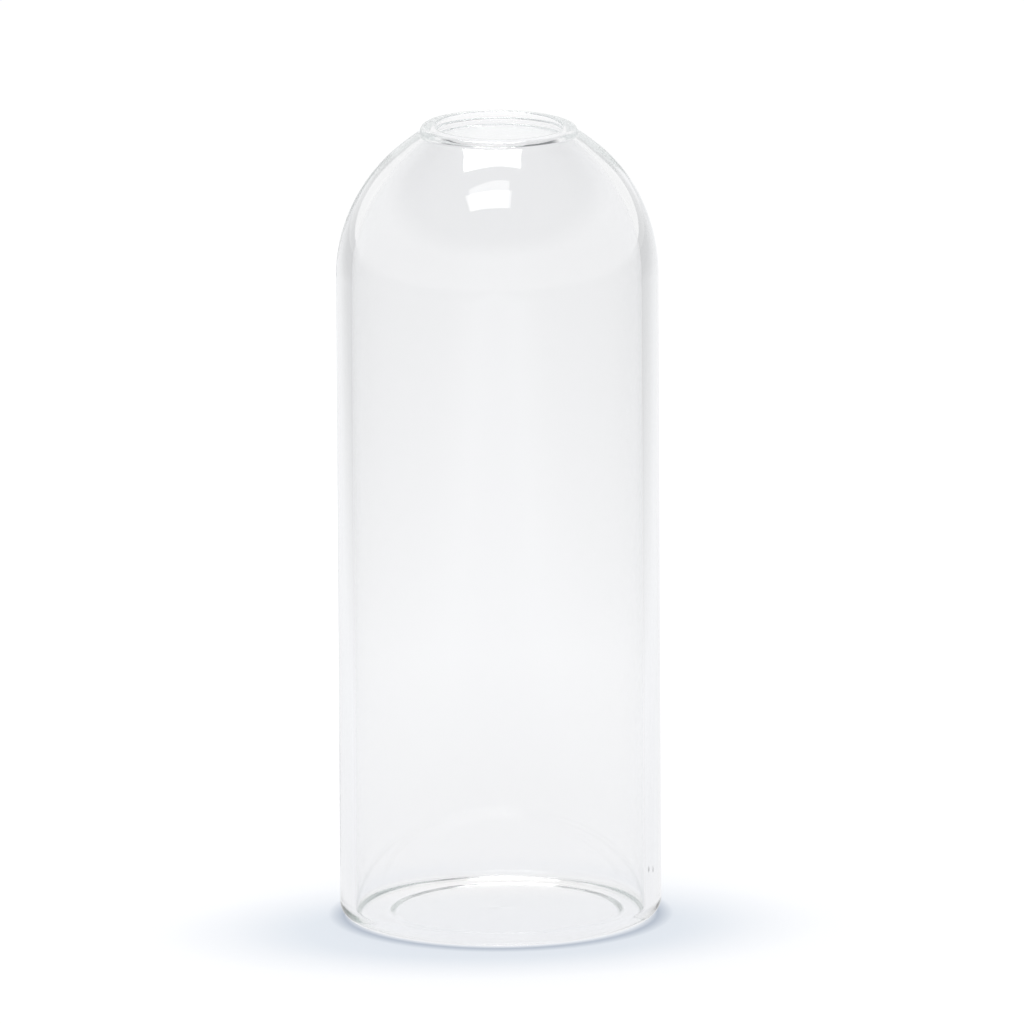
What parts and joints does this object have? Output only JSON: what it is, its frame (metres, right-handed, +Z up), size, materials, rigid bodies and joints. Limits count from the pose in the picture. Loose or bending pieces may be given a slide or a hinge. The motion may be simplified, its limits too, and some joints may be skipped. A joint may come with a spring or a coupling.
{
  "type": "glass cloche",
  "caption": "Tall clear glass cloche with a domed shoulder, a small open mouth with a beaded lip, and a closed flat foot.",
  "frame": {"origin": "centre of the standing ring, on the table plane", "axes": "+Z up along the vessel's axis of revolution, -Y towards the front view"},
  "size_m": [0.08, 0.08, 0.2],
  "materials": {
    "glass": "clear blown borosilicate glass, fire-polished"
  },
  "bodies": {
    "root": {"glass_vessel": "glass"}
  },
  "joints": []
}
